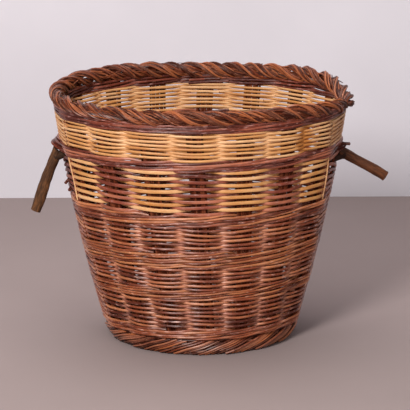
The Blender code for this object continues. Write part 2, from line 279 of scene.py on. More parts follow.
def new_rods():
    """An empty mesh that rods are laid into, and the seams to close later."""
    mesh = bmesh.new()
    for name, kind in LAYERS.items():
        getattr(mesh.verts.layers, kind).new(name)
    return mesh, {}


def lay_rod(rods, course, depth, height, tone, sides=ROD_SIDES, bared_and_highlight=0.0):
    """Lays a rod of half a depth and height on a course: its path and what is outwards there."""
    (mesh, seams), (path, outward) = rods, course
    count = len(path)
    depth, height = np.broadcast_to(depth, count), np.broadcast_to(height, count)
    tones = np.tile(np.broadcast_to(tone, count), sides + 1).tolist()
    bare_and_highlight_shares = np.tile(np.broadcast_to(bared_and_highlight, count), sides + 1).tolist()
    made = bmesh.ops.create_grid(mesh, x_segments=count - 1, y_segments=sides, size=1.0)
    corners = made["verts"]
    tangent = np.gradient(path, axis=0)
    tangent /= np.linalg.norm(tangent, axis=1, keepdims=True)
    out = outward - tangent * (outward * tangent).sum(1, keepdims=True)
    out /= np.linalg.norm(out, axis=1, keepdims=True)
    aside = np.cross(tangent, out)
    turn = np.linspace(0, FULL_TURN, sides + 1)[:, None]
    outs, ups = np.cos(turn) * depth, np.sin(turn) * height
    points = path[None] + outs[..., None] * out[None] + ups[..., None] * aside[None]
    steps = np.linalg.norm(np.diff(path, axis=0), axis=1)
    along = np.concatenate([[0.0], np.cumsum(steps)]) + between(0, 5)
    place = between(0, 5, 2)
    straight = np.stack([along + 0 * outs, outs + place[0], ups + place[1]], axis=-1)
    layers = [getattr(mesh.verts.layers, kind)[name] for name, kind in LAYERS.items()]
    points, straight = points.reshape(-1, 3).tolist(), straight.reshape(-1, 3).tolist()
    for corner, point, *values in zip(corners, points, straight, tones, bare_and_highlight_shares):
        corner.co = point
        for layer, value in zip(layers, values):
            corner[layer] = value
    seams.update(zip(corners[sides * count:], corners[:count]))


print("A rod has", ROD_SIDES, "sides and keeps", ", ".join(LAYERS))

# %% [markdown]
# All the rods of a piece share one mesh. Their seams are welded and their ends closed, and the
# piece takes the place of the CAD nodes that it stands for.

# %% Finish a piece
SHARP_ANGLE = math.radians(50)


def close_seams(rods):
    """Welds each rolled-up grid where its two long edges meet."""
    mesh, seams = rods
    bmesh.ops.weld_verts(mesh, targetmap=seams)
    seams.clear()
    return mesh


def finish_rods(rods, name, looks, replaced, body="basket"):
    """Closes the rods' seams and ends and makes them one object on a body."""
    mesh = close_seams(rods)
    open_edges = [edge for edge in mesh.edges if edge.is_boundary]
    bmesh.ops.holes_fill(mesh, edges=open_edges, sides=0)
    bmesh.ops.recalc_face_normals(mesh, faces=mesh.faces)
    data = bpy.data.meshes.new(name)
    mesh.to_mesh(data)
    mesh.free()
    data.shade_smooth()
    data.set_sharp_from_angle(angle=SHARP_ANGLE)
    piece = add_object(name, data)
    for look in looks:
        data.materials.append(look)
    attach(piece, body)
    if replaced:
        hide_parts(*replaced)
    data.calc_loop_triangles()
    print(f"{name}: {len(data.loop_triangles)} triangles")
    return piece


print("Edges sharper than", round(SHARP_ANGLE, 3), "stay sharp")

# %% [markdown]
# ## The finishes
#
# Willow with its bark on is smooth and slightly glossy, and peeled willow is the colour of straw.
# Both carry fine streaks along the rod, pale spots and rubbed places. These effects are shared,
# so each is one node group.

# %% Node helpers
COLOUR_A, COLOUR_B, COLOUR_RESULT = 6, 7, 2


def set_inputs(tree, node, inputs):
    """Sets a node's inputs, or links them to other nodes' outputs."""
    for title, value in inputs.items():
        if isinstance(value, bpy.types.NodeSocket):
            tree.links.new(value, node.inputs[title])
        else:
            node.inputs[title].default_value = value


def add_node(tree, kind, inputs, **settings):
    """Adds a node with its inputs and other settings."""
    node = tree.nodes.new("ShaderNode" + kind)
    for name, value in settings.items():
        setattr(node, name, value)
    set_inputs(tree, node, inputs)
    return node.outputs


def math_node(tree, operation, first, second, kind="Math"):
    return add_node(tree, kind, {0: first, 1: second}, operation=operation)[0]


def stretch(tree, straight, along, across):
    """Scales a rod's straight coordinates apart along and across the rod."""
    return math_node(tree, "MULTIPLY", straight, (along, across, across), "VectorMath")


def noise(tree, vector, scale, detail, roughness=0.5):
    inputs = {"Vector": vector, "Scale": scale, "Detail": detail, "Roughness": roughness}
    return add_node(tree, "TexNoise", inputs)["Fac"]


def spread(tree, value, low, high, to_low=0.0, to_high=1.0):
    """Maps a range of values to another and clamps it."""
    ranges = {"From Min": low, "From Max": high, "To Min": to_low, "To Max": to_high}
    return add_node(tree, "MapRange", {"Value": value, **ranges})["Result"]


def blend_colours(tree, share, *colours):
    """Mixes two colours, each an output or a plain colour, by a share."""
    first, second = ((*each, 1.0) if isinstance(each, tuple) else each for each in colours)
    inputs = {"Factor": share, COLOUR_A: first, COLOUR_B: second}
    return add_node(tree, "Mix", inputs, data_type="RGBA")[COLOUR_RESULT]


def attribute(tree, name, output="Fac"):
    """What each point of a rod keeps under a name."""
    return add_node(tree, "Attribute", {}, attribute_name=name)[output]


print("Colour sockets of a mix:", COLOUR_A, COLOUR_B)

# %% Group and material helpers


def new_group(name, inputs, outputs):
    """An empty node group. Its sockets carry numbers, but Straight is a vector."""
    group = bpy.data.node_groups.new(name, "ShaderNodeTree")
    for in_out, titles in (("INPUT", inputs), ("OUTPUT", outputs)):
        for title in titles:
            kind = "NodeSocketVector" if title == "Straight" else "NodeSocketFloat"
            group.interface.new_socket(title, in_out=in_out, socket_type=kind)
    inside = group.nodes.new("NodeGroupInput").outputs
    return group, inside, group.nodes.new("NodeGroupOutput").inputs


def use_group(tree, group, values):
    """Places a group in a material and gives back its outputs."""
    return add_node(tree, "Group", values, node_tree=group)


def new_material(name):
    """A material, its node tree and its Principled shader."""
    made = bpy.data.materials.new(name)
    made.use_nodes = True
    return made, made.node_tree, made.node_tree.nodes["Principled BSDF"]


def bump(tree, height, strength, distance):
    inputs = {"Strength": strength, "Distance": distance, "Height": height}
    return add_node(tree, "Bump", inputs)["Normal"]


print("Node groups so far:", len(bpy.data.node_groups))

# %% [markdown]
# The willow's figure is noise that is stretched along the rod: slow patches, fine grain, rubbed
# places and round spots.

# %% Group: willow figure
GRAIN_STRETCH, RUBBED_STRETCH, SPOT_STRETCH = (45, 700), (70, 240), (260, 420)
SPOT_RELIEF = 0.6

figure, figure_in, figure_out = new_group(
    "willow figure", ("Straight", "Patch Length"), ("Patch", "Grain", "Spots", "Rubbed", "Relief")
)
straight = figure_in["Straight"]
patch_place = math_node(figure, "DIVIDE", straight, figure_in["Patch Length"], "VectorMath")
patch = noise(figure, patch_place, 1.0, 2.0)
grain = noise(figure, stretch(figure, straight, *GRAIN_STRETCH), 1.0, 4.0, 0.65)
rubbed = noise(figure, stretch(figure, straight, *RUBBED_STRETCH), 1.0, 4.0, 0.65)
spot_place = stretch(figure, straight, *SPOT_STRETCH)
spot_cells = add_node(figure, "TexVoronoi", {"Vector": spot_place, "Scale": 1.0})
spots = spread(figure, spot_cells["Distance"], 0.1, 0.22, 1.0, 0.0)
relief = math_node(figure, "ADD", grain, math_node(figure, "MULTIPLY", spots, SPOT_RELIEF))
for title, socket in (
    ("Patch", spread(figure, patch, 0.25, 0.75)),
    ("Grain", spread(figure, grain, 0.3, 0.7)),
    ("Spots", spots),
    ("Rubbed", spread(figure, rubbed, 0.56, 0.72)),
    ("Relief", relief),
):
    figure.links.new(socket, figure_out[title])
print("Willow figure:", len(figure.nodes), "nodes")

# %% [markdown]
# Dust and shade gather in patches over the whole basket, so this group reads the object's own
# coordinates.

# %% Group: dust and shade
DUST_SCALE = 22

worn, worn_in, worn_out = new_group("dust and shade", ("Grain", "Depth"), ("Mask",))
where = add_node(worn, "TexCoord", {})["Object"]
dust = spread(worn, noise(worn, where, DUST_SCALE, 3.0, 0.6), 0.42, 0.66)
dust_in_grain = math_node(worn, "MULTIPLY", worn_in["Grain"], worn_in["Depth"])
worn.links.new(math_node(worn, "MULTIPLY", dust, dust_in_grain), worn_out["Mask"])
print("Dust and shade:", len(worn.nodes), "nodes")

# %% [markdown]
# A rod's tone and slow patches along it choose among three colours. One colour more serves the
# pale spots, the rubbed places and the painted highlights, and one the dark streaks.

# %% A willow material
TONE_STOPS = (0.22, 0.5, 0.8)
PATCH_SHARE = 0.42
STREAK_SHARE = 0.6
SPOT_SHARE = 0.35
ROUGHER, SMOOTHER = 0.12, 0.08
RELIEF_STRENGTH, RELIEF_DEPTH = 0.35, 0.0006


def willow(name, dark, middle, light, rub, streak, roughness=0.34,
           patch_length=0.05, rub_share=0.75, dusty=0.35, gloss=0.28):
    """A material for rods: three tones from dark to light, and colours of rubs, painted highlights
    and streaks.
    """
    made, tree, shader = new_material(name)
    straight = attribute(tree, "straight", "Vector")
    marks = use_group(tree, figure, {"Straight": straight, "Patch Length": patch_length})
    patch_tone = math_node(tree, "MULTIPLY", marks["Patch"], PATCH_SHARE)
    own_tone = math_node(tree, "MULTIPLY", attribute(tree, "tone"), 1 - PATCH_SHARE)
    mixed = math_node(tree, "ADD", patch_tone, own_tone)
    ramp = tree.nodes.new("ShaderNodeValToRGB")
    stops = ramp.color_ramp.elements
    stops[0].position, stops[0].color = TONE_STOPS[0], (*dark, 1)
    stops[1].position, stops[1].color = TONE_STOPS[2], (*light, 1)
    stops.new(TONE_STOPS[1]).color = (*middle, 1)
    set_inputs(tree, ramp, {"Fac": mixed})
    streaks = spread(tree, marks["Grain"], 0.0, 1.0, STREAK_SHARE, 0.0)
    rubbed_share = math_node(tree, "MULTIPLY", marks["Rubbed"], rub_share)
    spot_share = math_node(tree, "MULTIPLY", marks["Spots"], SPOT_SHARE)
    bare_and_highlight_grain = spread(tree, marks["Grain"], 0.0, 0.6, 0.35, 1.0)
    bare_and_highlight = math_node(tree, "MULTIPLY", bare_and_highlight_grain, attribute(tree, "bared_and_highlight"))
    dusty_share = use_group(tree, worn, {"Grain": marks["Grain"], "Depth": dusty})["Mask"]
    colour = ramp.outputs["Color"]
    layers = (streaks, streak), (rubbed_share, rub), (spot_share, rub), (bare_and_highlight, rub)
    for share, over in (*layers, (dusty_share, streak)):
        colour = blend_colours(tree, share, colour, over)
    rough = spread(tree, marks["Grain"], 0.0, 1.0, roughness + ROUGHER, roughness - SMOOTHER)
    set_inputs(tree, shader, {
        "Base Color": colour, "Roughness": rough, "Specular IOR Level": gloss,
        "Normal": bump(tree, marks["Relief"], RELIEF_STRENGTH, RELIEF_DEPTH),
    })
    return made


print("Tones lie between", TONE_STOPS[0], "and", TONE_STOPS[2])

# %% Willow materials
brown = willow(
    "brown_willow", (0.1, 0.018, 0.008), (0.36, 0.089, 0.037),
    (0.7, 0.255, 0.103), (0.76, 0.43, 0.34), (0.045, 0.006, 0.002),
)
dark = willow(
    "dark_willow", (0.1, 0.019, 0.011), (0.33, 0.076, 0.04),
    (0.6, 0.2, 0.105), (0.56, 0.29, 0.25), (0.036, 0.006, 0.004),
)
orange = willow(
    "orange_willow", (0.115, 0.021, 0.008), (0.345, 0.087, 0.033),
    (0.64, 0.235, 0.092), (0.76, 0.43, 0.31), (0.06, 0.01, 0.003),
)
border = willow(
    "border_willow", (0.058, 0.011, 0.005), (0.21, 0.041, 0.014),
    (0.47, 0.132, 0.041), (0.52, 0.22, 0.13), (0.03, 0.004, 0.001),
)
peeled = willow(
    "peeled_willow", (0.52, 0.21, 0.052), (0.76, 0.4, 0.15),
    (0.91, 0.57, 0.29), (0.94, 0.66, 0.42), (0.36, 0.1, 0.012),
    roughness=0.4, patch_length=0.09, rub_share=0.3, dusty=0.2,
)
# Painted shade: the stakes' colours are darkened for the shade in the weave's gaps.
painted_shade_stake = willow(
    "stake_willow", (0.03, 0.005, 0.001), (0.13, 0.025, 0.009),
    (0.27, 0.07, 0.03), (0.3, 0.11, 0.06), (0.012, 0.0015, 0.0005),
    roughness=0.6, gloss=0.05,
)
print("Materials so far:", len(bpy.data.materials))

# %% [markdown]
# ## The stakes
#
# Each stake is a flat bundle of thin rods, side by side from the foot to the rim. They show as
# fine upright lines in the dark gaps of the weave. Their colours are darkened, a painted shade for
# those gaps.

# %% Stakes
ANY_TONE, RATHER_LIGHT = (0, 1), (0.1, 1.15)
RATHER_DARK, PALE = (-0.35, 0.6), (0.25, 1.05)
STAKE_WIDTH = 0.027
WIDER_AT_RIM = 0.3
STAKE_RODS = 8
STAKE_ROD_SIDES = 5
STAKE_LEVELS = 26
STAKE_BOTTOM, STAKE_TOP = 0.012, 0.487
SHORT_STAKES = {3: 0.478, 4: 0.468}
HALF_ROD = 0.52
STAKE_BEND, STAKE_UNEVEN = 0.0004, 0.0003

rods = new_rods()
pitch = STAKE_WIDTH / STAKE_RODS
half = pitch * HALF_ROD
for stake in range(STAKES):
    levels = np.linspace(STAKE_BOTTOM, SHORT_STAKES.get(stake, STAKE_TOP), STAKE_LEVELS)
    around = sum(half_sizes(levels)) * math.pi
    wider = 1 + WIDER_AT_RIM * levels / HEIGHT
    for rod in range(STAKE_RODS):
        aside = (rod - (STAKE_RODS - 1) / 2) * pitch
        bend = chance.normal(0, STAKE_BEND) * np.sin(levels * between(15, 30))
        place = stake + (aside * wider + bend) * STAKES / around
        outwards = corner_push(place, levels) + chance.normal(0, STAKE_UNEVEN)
        course = on_wall(place, outwards, levels)
        tone = between(*ANY_TONE)
        lay_rod(rods, course, half, half * wider, tone, sides=STAKE_ROD_SIDES)
names = [f"stake_{stake + 1:02d}" for stake in range(STAKES)]
finish_rods(rods, "stake_rods", [painted_shade_stake], names)

# %% [markdown]
# ## The handles' room
#
# A stick handle goes through each end wall. The check band's rods part round its neck: a shift in
# level that is strongest at the handle's stake.

# %% Bands, and parting round the handles
BAND_SPANS = {}
level = 0.0
for band, share in (
    ("foot_border", 0.07), ("upsett_wale", 0.038), ("lower_weave", 0.128),
    ("lower_wale", 0.04), ("middle_weave", 0.088), ("middle_wale", 0.066),
    ("upper_weave", 0.108), ("upper_wale", 0.046), ("check", 0.176),
    ("shoulder_wale", 0.04), ("light_band", 0.11), ("top_wale", 0.03), ("rim_border", 0.06),
):
    BAND_SPANS[band] = (level, level + share * HEIGHT)
    level += share * HEIGHT

PASSAGE = 0.0248
PARTING_WIDTH = 0.42
HANDLE_STAKE = {"left_handle": 12, "right_handle": 4}
swings = {joint["child"]: Vector(joint["pos_m"]) for joint in frame["joints"]}


def part_rods(stakes, levels):
    """Moves the levels of the check band's rods away from each handle's neck."""
    bottom, top = BAND_SPANS["check"]
    squeeze = (top - bottom - PASSAGE) / (top - bottom)
    moved = levels.copy()
    for handle, stake in HANDLE_STAKE.items():
        split = bottom + (swings[handle].z - PASSAGE / 2 - bottom) / squeeze
        parted = bottom + (levels - bottom) * squeeze + np.where(levels > split, PASSAGE, 0.0)
        moved += bell(stakes_from(stakes, stake), PARTING_WIDTH) * (parted - levels)
    return moved


print("Bands:", len(BAND_SPANS), "top level:", round(level, 3))

# %% [markdown]
# ## Randing
#
# In the plain weave a rod passes in front of one stake and behind the next, and the row above
# does the opposite. So at each stake every second rod stands in front, and between two stakes all
# the rods crowd together. A hand-made row also wanders: all rows share a slow sway, and each rod
# has small ups and downs of its own.

# %% How a row wanders
CROSSING_PLACES = (2.38, 3.12, 4.88, 5.62)
CROSSING_TURNS = (2.5, 3.5, 4.5, 5.5)
SWAY = 0.0009
KNOT_SPACING = 0.5
CALM_EDGE = 0.012


def sway(stakes, levels):
    """The slow ups and downs that all the rows share."""
    turns = stakes / STAKES * FULL_TURN
    return SWAY * (np.sin(5 * turns + levels * 40) + 0.8 * np.sin(9 * turns - levels * 65 + 1.0))


def calm_ends(level, bottom, top):
    """The share of the sway at a level, none at the band's edges."""
    return np.clip(np.minimum(level - bottom, top - level) / CALM_EDGE, 0, 1)


def slow_wave(stakes, slowest, fastest):
    """A wave of one rod's own length and start."""
    return np.sin(stakes * between(slowest, fastest) + between(0, 6))


def restless(stakes, amount):
    """A rod's own small ups and downs, which change from one half stake to the next."""
    knots = np.arange(math.floor(stakes[0]) - 1, math.ceil(stakes[-1]) + 2, KNOT_SPACING)
    heights = chance.normal(0, amount, len(knots))
    place = (stakes - knots[0]) / KNOT_SPACING
    left = place.astype(int)
    share = ease(place - left)
    return heights[left] * (1 - share) + heights[left + 1] * share


def weaving_turn(stakes):
    """The stake number by which the rods change sides: they cross at the basket's corners."""
    half_rounds, places = np.divmod(stakes, STAKES / 2)
    return half_rounds * STAKES / 2 + np.interp(
        places, (0, 2, *CROSSING_PLACES, 6, 8), (0, 2, *CROSSING_TURNS, 6, 8)
    )


print("The sway at the front of the check band:", sway(0.0, BAND_SPANS["check"][0]).round(5))

# %% [markdown]
# Where a rod changes sides it is bent hard, so its bark is rubbed there, and it is also painted
# paler there as a painted highlight. In the check band the rods behind a stake also sink back and
# are painted darker, a painted shade. Near the front right stake the peeled rods are tanned in a
# narrow line, and painted lighter round it, a painted light.

# %% One rod of plain weave
STEPS_PER_STAKE = 10
SQUARENESS = 1.35
END_LENGTH, END_SINK = 0.45, 0.0035
WANDER, DRIFT, RESTLESS = 0.0003, 0.0004, 0.00045
CROSSING_SPAN = 0.85
CROSSING_HIGHLIGHT_TONE = 0.29
CROSSING_RUB_AND_HIGHLIGHT = 0.27
CHECK_CROSSING, LIGHT_CROSSING = 0.25, 0.5
CHECK_SINK, CHECK_THIN, CHECK_SHADE = 0.0013, 0.2, 0.25
TANNED_STAKE = 2.38
PAINTED_LIGHT_WIDTH, TANNED_LINE, TANNED_CLEAR = 1.1, 0.17, 0.4
PAINTED_LIGHT_TONE = 0.22


def rod_stakes(first, last, end_length):
    """Even steps from one stake number to another, and how clear each is of the two ends."""
    stakes = np.linspace(first, last, int((last - first) * STEPS_PER_STAKE) + 1)
    return stakes, np.clip(np.minimum(stakes - first, last - stakes) / end_length, 0, 1)


def lay_weave_rod(rods, first, last, phase, level, band, size, tone):
    """One rod of plain weave, painted paler where it changes sides: rubbed bark and a painted
    highlight.
    """
    reach, depth, height = size
    stakes, ends = rod_stakes(first, last, END_LENGTH)
    swing = np.tanh(SQUARENESS * np.cos(np.pi * (weaving_turn(stakes) - phase)))
    swing /= math.tanh(SQUARENESS)
    outwards = swing * reach - (1 - ends) * END_SINK
    if band == "check":
        behind = ease(-swing)
        outwards -= CHECK_SINK * behind
        height *= 1 - CHECK_THIN * behind
        # Painted shade: rods behind a stake are painted darker.
        tone = tone - CHECK_SHADE * behind
    outwards += corner_push(stakes, level + 0 * stakes)
    wander = chance.normal(0, WANDER) + DRIFT * slow_wave(stakes, 1.5, 3)
    levels = level + wander + sway(stakes, level) * calm_ends(level, *BAND_SPANS[band])
    levels += restless(stakes, RESTLESS)
    crossing = np.clip(1 - np.abs(swing) / CROSSING_SPAN, 0, 1)
    if band == "check":
        levels = part_rods(stakes % STAKES, levels)
        crossing = CHECK_CROSSING * crossing
    if band == "light_band":
        away = stakes_from(stakes, TANNED_STAKE)
        # Painted light: the peeled rods are painted lighter round the front right stake. The
        # narrow dark line at its middle is the tanned patch.
        tone = tone + PAINTED_LIGHT_TONE * bell(away, PAINTED_LIGHT_WIDTH, 4) - bell(away, TANNED_LINE, 4)
        crossing = LIGHT_CROSSING * crossing * (np.abs(away) > TANNED_CLEAR)
    taper = np.linspace(between(1.02, 1.12), between(0.9, 0.98), len(stakes))
    taper = taper[::-1] if chance.random() < 0.5 else taper
    course = on_wall(stakes, outwards, levels)
    # Rubbed bark and painted highlight: the rod is painted paler where it crosses between stakes.
    tone = tone + CROSSING_HIGHLIGHT_TONE * crossing
    lay_rod(rods, course, depth * taper, height * taper, tone, bared_and_highlight=CROSSING_RUB_AND_HIGHLIGHT * crossing)


print("Steps of half a round:", STAKES // 2 * STEPS_PER_STAKE)

# %% [markdown]
# A row is two rods, whose ends are hidden behind stakes. Sizes are the reach in and out, and half
# the rod's depth and height.

# %% The brown weaves
WEAVE_SIZE = (0.0054, 0.0023, 0.00245)
WEAVE_ROWS = {"lower": 14, "middle": 10, "upper": 12}
BOTH_PHASES = (0, 1)
HIDDEN_END = 0.3


def weave_band(name, band, rows, phases, size, tones, look, nodes):
    """Weaves all rows of a band, or those of one phase."""
    rods = new_rods()
    bottom, top = BAND_SPANS[band]
    pitch = (top - bottom) / rows
    half_round = STAKES // 2
    for row in range(rows):
        phase = row % 2
        if phase not in phases:
            continue
        hidden = 1 - phase + 2 * chance.integers(0, half_round)
        for first in (hidden, hidden + half_round):
            lay_weave_rod(
                rods, first - HIDDEN_END, first + half_round + HIDDEN_END, phase,
                bottom + (row + 0.5) * pitch, band, size, between(*tones),
            )
    return finish_rods(rods, name, [look], nodes)


for part, rows in WEAVE_ROWS.items():
    weave_band(
        f"{part}_weave_rods", f"{part}_weave", rows, BOTH_PHASES, WEAVE_SIZE, ANY_TONE, brown,
        (f"{part}_weaver_inner", f"{part}_weaver_outer"),
    )

# %% [markdown]
# The light band is woven the same way from peeled rods. In the check band each phase has its own
# colour, and that alone makes the blocks.

# %% Light band and check band
LIGHT_SIZE = (0.005, 0.0024, 0.0025)
CHECK_DARK_SIZE = (0.0056, 0.0026, 0.0033)
CHECK_LIGHT_SIZE = (0.0053, 0.0026, 0.0035)
LIGHT_ROWS = CHECK_ROWS = 14

weave_band(
    "light_band_rods", "light_band", LIGHT_ROWS, BOTH_PHASES, LIGHT_SIZE, PALE, peeled,
    ("light_weaver_inner", "light_weaver_outer"),
)
weave_band(
    "check_dark_rods", "check", CHECK_ROWS, (0,), CHECK_DARK_SIZE, RATHER_LIGHT, dark,
    ("check_dark_weaver",),
)
weave_band(
    "check_light_rods", "check", CHECK_ROWS, (1,), CHECK_LIGHT_SIZE, PALE, peeled,
    ("check_light_weaver",),
)

# %% [markdown]
# ## Waling
#
# A wale is a firm ring that locks the rows under it. Three rods go round together, each in front
# of two stakes and behind one, and climb as they go. The shoulder wale also bends out over each
# handle's root.

# %% How a wale rod runs
NECK_BULGE, RIGHT_NECK_BULGE = 0.0105, 0.0035
NECK_PRESS = 0.0025
NECK_WIDTH = 0.5
BULGE_FROM, BULGE_FADES_FROM = 0.0085, 0.011
BULGE_RISE, BULGE_FADE = 0.003, 0.01
BULGE_LOST = 0.75


def wale_course(stakes, start):
    """Where a wale rod is at each stake number: its share out (-1 to 1) and up (-0.5 to 0.5)."""
    beat = (stakes + start) % 3
    from_back = np.minimum(beat, 3 - beat)
    out = np.tanh(5 * (from_back - 0.5)) / math.tanh(2.5)
    climb = np.where((beat >= 0.5) & (beat <= 2.5), (beat - 1.5) / 2, 0.0)
    climb = np.where(beat > 2.5, 0.5 - (beat - 2.5), climb)
    return out, np.where(beat < 0.5, -beat, climb)


def over_neck(stakes, levels):
    """Over each handle's root the upper rods bulge and the lower ones are pressed in."""
    away = (stakes + STAKES / 4) % (STAKES / 2)
    away = np.minimum(away, STAKES / 2 - away)
    up = levels - BAND_SPANS["shoulder_wale"][0]
    above = ease((up - BULGE_FROM) / BULGE_RISE)
    above *= 1 - BULGE_LOST * ease((up - BULGE_FADES_FROM) / BULGE_FADE)
    bulge = np.where(stakes % STAKES > STAKES / 2, NECK_BULGE, RIGHT_NECK_BULGE)
    return bell(away, NECK_WIDTH) * (bulge * above - NECK_PRESS * (1 - above))


print("A wale rod's share out at three stakes:", wale_course(np.arange(3.0), 0)[0].round(2))

# %% Wales
WALE_CLIMB = 0.85
WALE_WAVE = 0.001
WALE_RESTLESS = 1.6
WALE_START, WALE_OVERLAP, WALE_END = 0.4, 0.9, 0.4
WALE_END_SINK = 0.004
WALE_CROSSING = 0.6
WALE_TAPER = 0.1
TOP_WALE_HIGHER = 0.004
WALES = (
    ("upsett_wale", 2, (0.0052, 0.0025, 0.0025), ANY_TONE, brown, "dark_willow"),
    ("lower_wale", 2, (0.0054, 0.0025, 0.0022), ANY_TONE, orange, "dark_willow"),
    ("middle_wale", 3, (0.0054, 0.0025, 0.0024), ANY_TONE, orange, "orange_willow"),
    ("upper_wale", 2, (0.0054, 0.0026, 0.0026), ANY_TONE, brown, "dark_willow"),
    ("shoulder_wale", 2, (0.005, 0.0025, 0.0026), ANY_TONE, dark, "dark_willow"),
    ("top_wale", 3, (0.005, 0.0022, 0.0023), RATHER_DARK, dark, "dark_willow"),
)
for band, rounds, (reach, depth, height), tones, look, slot in WALES:
    rods = new_rods()
    bottom, top = BAND_SPANS[band]
    if band == "top_wale":
        top += TOP_WALE_HIGHER
    pitch = (top - bottom) / rounds
    for turn in range(rounds):
        middle = bottom + (turn + 0.5) * pitch
        for start in range(3):
            first = STAKES / 2 - WALE_START + between(-0.2, 0.2)
            last = first + STAKES + WALE_OVERLAP
            stakes, ends = rod_stakes(first, last, WALE_END)
            out_share, up_share = wale_course(stakes, start + turn)
            outwards = out_share * reach - (1 - ends) * WALE_END_SINK
            outwards += corner_push(stakes, middle + 0 * stakes)
            levels = middle + up_share * pitch * WALE_CLIMB + chance.normal(0, WANDER)
            crossing = np.abs(np.cos(np.pi * weaving_turn(stakes)))
            uneven = restless(stakes, WALE_RESTLESS * RESTLESS)
            levels = levels + uneven - WALE_WAVE * crossing
            # Painted highlight: the wale rods are painted paler between the stakes, where the
            # weave's rods cross.
            crossing = WALE_CROSSING * np.clip(1 - crossing / WALE_CROSSING, 0, 1)
            if band == "shoulder_wale":
                outwards += over_neck(stakes, levels)
            taper = 1 + WALE_TAPER * np.sin(stakes * 0.7 + between(0, 6))
            course = on_wall(stakes, outwards, levels)
            tone = between(*tones) + CROSSING_HIGHLIGHT_TONE * crossing
            bared_and_highlight = CROSSING_RUB_AND_HIGHLIGHT * crossing
            lay_rod(rods, course, depth * taper, height * taper, tone, bared_and_highlight=bared_and_highlight)
    finish_rods(rods, band + "_rods", [look], (band,))

# %% [markdown]
# ## The rim border
#
# The border is a rope of three strands, each a handful of thin rods round a core. It doesn't
# close: at the right its two ends dip and lie side by side, the tail on the outside. The rope's
# middle line comes first.

# %% The rope's middle line
ROPE_LENGTH = STAKES + 0.1
TAIL_STAKE = 3.8
LEFT_STAKE = 12
HIGH_STAKES = ((10.4, 1.3, 0.0062), (5.9, 0.9, 0.0065))
BELOW_TOP = 0.016
TAIL_OUT, TAIL_DOWN = 0.009, 0.017
END_IN, END_DOWN = 0.004, 0.015
LEFT_IN, LEFT_WIDTH = 0.003, 1.4
BACK_DOWN, BACK_THICKER, TAIL_THINNER = 0.003, 0.08, 0.1


def rope_middle(stakes):
    """The rope's outward offset, level and thickness."""
    ending = TAIL_STAKE + ROPE_LENGTH - stakes
    outside = 1 - ease((stakes - TAIL_STAKE) / 0.7)
    sunk = 1 - ease((stakes - TAIL_STAKE + 0.2) / 1.6)
    under = 1 - ease(ending / 1.9)
    at_back = ease((0.3 - np.cos(FULL_TURN * stakes / STAKES)) / 0.9)
    high = sum(up * bell(stakes - at, width) for at, width, up in HIGH_STAKES)
    narrow = bell(stakes - LEFT_STAKE, LEFT_WIDTH)
    outwards = TAIL_OUT * outside - END_IN * under - LEFT_IN * narrow
    levels = HEIGHT - BELOW_TOP - TAIL_DOWN * sunk - END_DOWN * under - BACK_DOWN * at_back + high
    return outwards, levels, 1 + BACK_THICKER * at_back - TAIL_THINNER * outside


print("The rope's level at the front:", rope_middle(np.array([16.0]))[1].round(3))

# %% Rim border
ROPE_STRANDS = 3
ROPE_TWISTS = 12.4
STRAND_RODS = 10
STRAND_CENTRE = 0.0083
STRAND_RADIUS = 0.0056
STRAND_CORE = 0.005
CORE_TONE = -0.2
BORDER_ROD = 0.00175
TIP = np.array([0.0, 0.01, 0.04, 0.09, 0.14])
POINTS_PER_STAKE = 15
CLOSING = 0.16
SHADY_STAKE = 11.3

rods = new_rods()
whole = np.linspace(0.2, ROPE_LENGTH - 0.2, int(ROPE_LENGTH * POINTS_PER_STAKE))
along = np.concatenate([TIP, whole, ROPE_LENGTH - TIP[::-1]])
stakes = TAIL_STAKE + along
offset, middle, thickness = rope_middle(stakes)
closed = np.clip(np.minimum(along, ROPE_LENGTH - along) / CLOSING, 0.0, 1)
closed = np.sqrt(1 - (1 - closed) ** 2)
reach = STRAND_CENTRE * closed * thickness
core = (STRAND_CORE * thickness * (0.3 + 0.7 * closed))[2:-2]
twist = -FULL_TURN * ROPE_TWISTS * stakes / STAKES
# Painted shade: the rods are painted darker round the back left. They are also painted darker over
# the tail's first stake.
shade = 0.5 * (1 - ease(along / 0.8)) + 0.3 * bell(stakes - SHADY_STAKE, 2)
for strand in range(ROPE_STRANDS):
    lay = twist + FULL_TURN * strand / ROPE_STRANDS + 0.15 * np.sin(stakes * 1.7 + 2 * strand)
    swell = 1 + 0.08 * slow_wave(stakes, 1.0, 2.0)
    strand_offset = offset + reach * np.cos(lay)
    strand_middle = middle + reach * np.sin(lay)
    path, out = on_wall(stakes, strand_offset, strand_middle)
    lay_rod(rods, (path[2:-2], out[2:-2]), core, core, CORE_TONE)
    for rod in range(STRAND_RODS):
        own = lay + FULL_TURN * (rod / STRAND_RODS)
        own += 1.2 * slow_wave(stakes, 0.8, 2.2)
        loose = swell * (1 + 0.13 * slow_wave(stakes, 1, 4))
        aside = STRAND_RADIUS * loose * closed * thickness
        rod_offset = strand_offset + aside * np.cos(own)
        course = on_wall(stakes, rod_offset, strand_middle + aside * np.sin(own))
        half = BORDER_ROD * thickness * between(0.75, 1.2)
        half *= 1 + 0.14 * slow_wave(stakes, 1, 2)
        tone = between(-0.3, 1.1) - shade
        lay_rod(rods, course, half, half, tone, sides=5, bared_and_highlight=between(0, 0.16))
print("Strands:", ROPE_STRANDS, "of", STRAND_RODS, "rods and a core")

# %% [markdown]
# Thin shoots lie loosely across the strands.

# %% Whiskers
WHISKERS = 260
WHISKER_POINTS = 6
WHISKER_REACH = 0.0134

